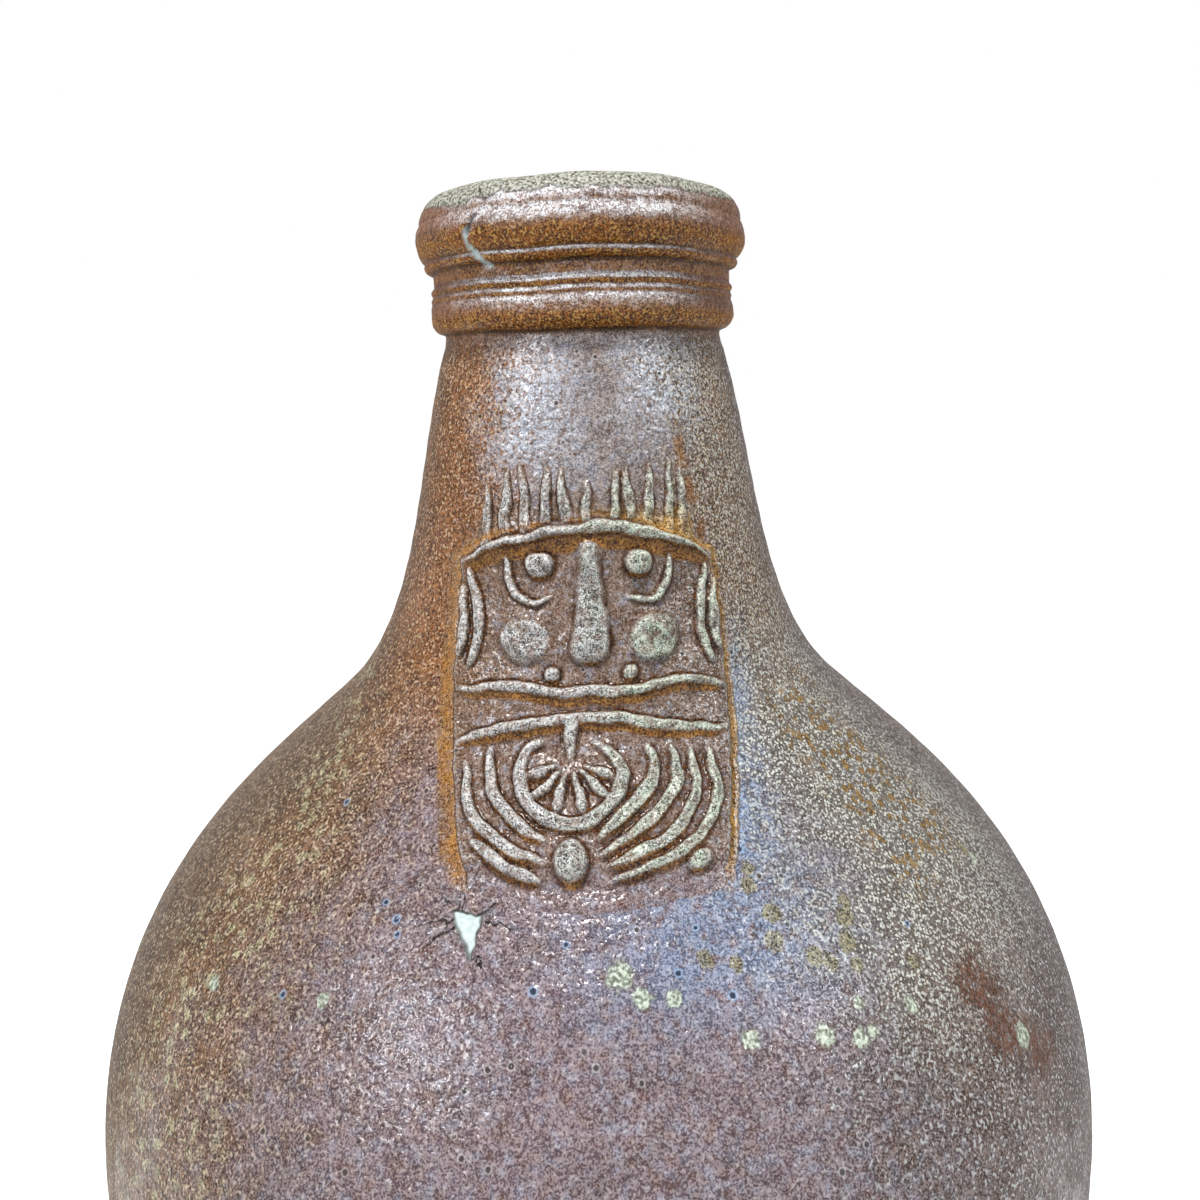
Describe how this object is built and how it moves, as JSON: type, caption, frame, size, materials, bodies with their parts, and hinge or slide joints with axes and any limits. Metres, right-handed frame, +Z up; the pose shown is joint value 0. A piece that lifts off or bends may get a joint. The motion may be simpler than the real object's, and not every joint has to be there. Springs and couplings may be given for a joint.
{
  "type": "bartmann jug",
  "caption": "Salt-glazed stoneware jug with a pear-shaped body, ribbed collar, strap handle and a moulded bearded mask on the neck, for holding and pouring liquid.",
  "frame": {"origin": "centre of the foot, on the surface that the jug stands on", "axes": "+Z up along the axis of the wheel, the mask faces -Y and the handle is at +Y"},
  "size_m": [0.193, 0.193, 0.3],
  "materials": {
    "body_glaze": "mottled brown salt glaze with an orange-peel surface",
    "handle_glaze": "brown salt glaze with an orange-peel surface",
    "slab_glaze": "rust-brown salt glaze pooled in the recesses",
    "relief_glaze": "thin grey-olive salt glaze on the raised edges"
  },
  "bodies": {
    "root": {"thrown_body": "body_glaze", "strap_handle": "handle_glaze", "mask_panel": "slab_glaze", "hair_fringe": "relief_glaze", "brow_ridge": "relief_glaze", "eye_beads": "relief_glaze", "eye_lids": "relief_glaze", "nose_bar": "relief_glaze", "cheek_pads": "relief_glaze", "moustache": "relief_glaze", "lower_lip": "relief_glaze", "side_locks": "relief_glaze", "beard_locks": "relief_glaze", "beard_palmette": "relief_glaze", "chin_bead": "relief_glaze"}
  },
  "joints": []
}
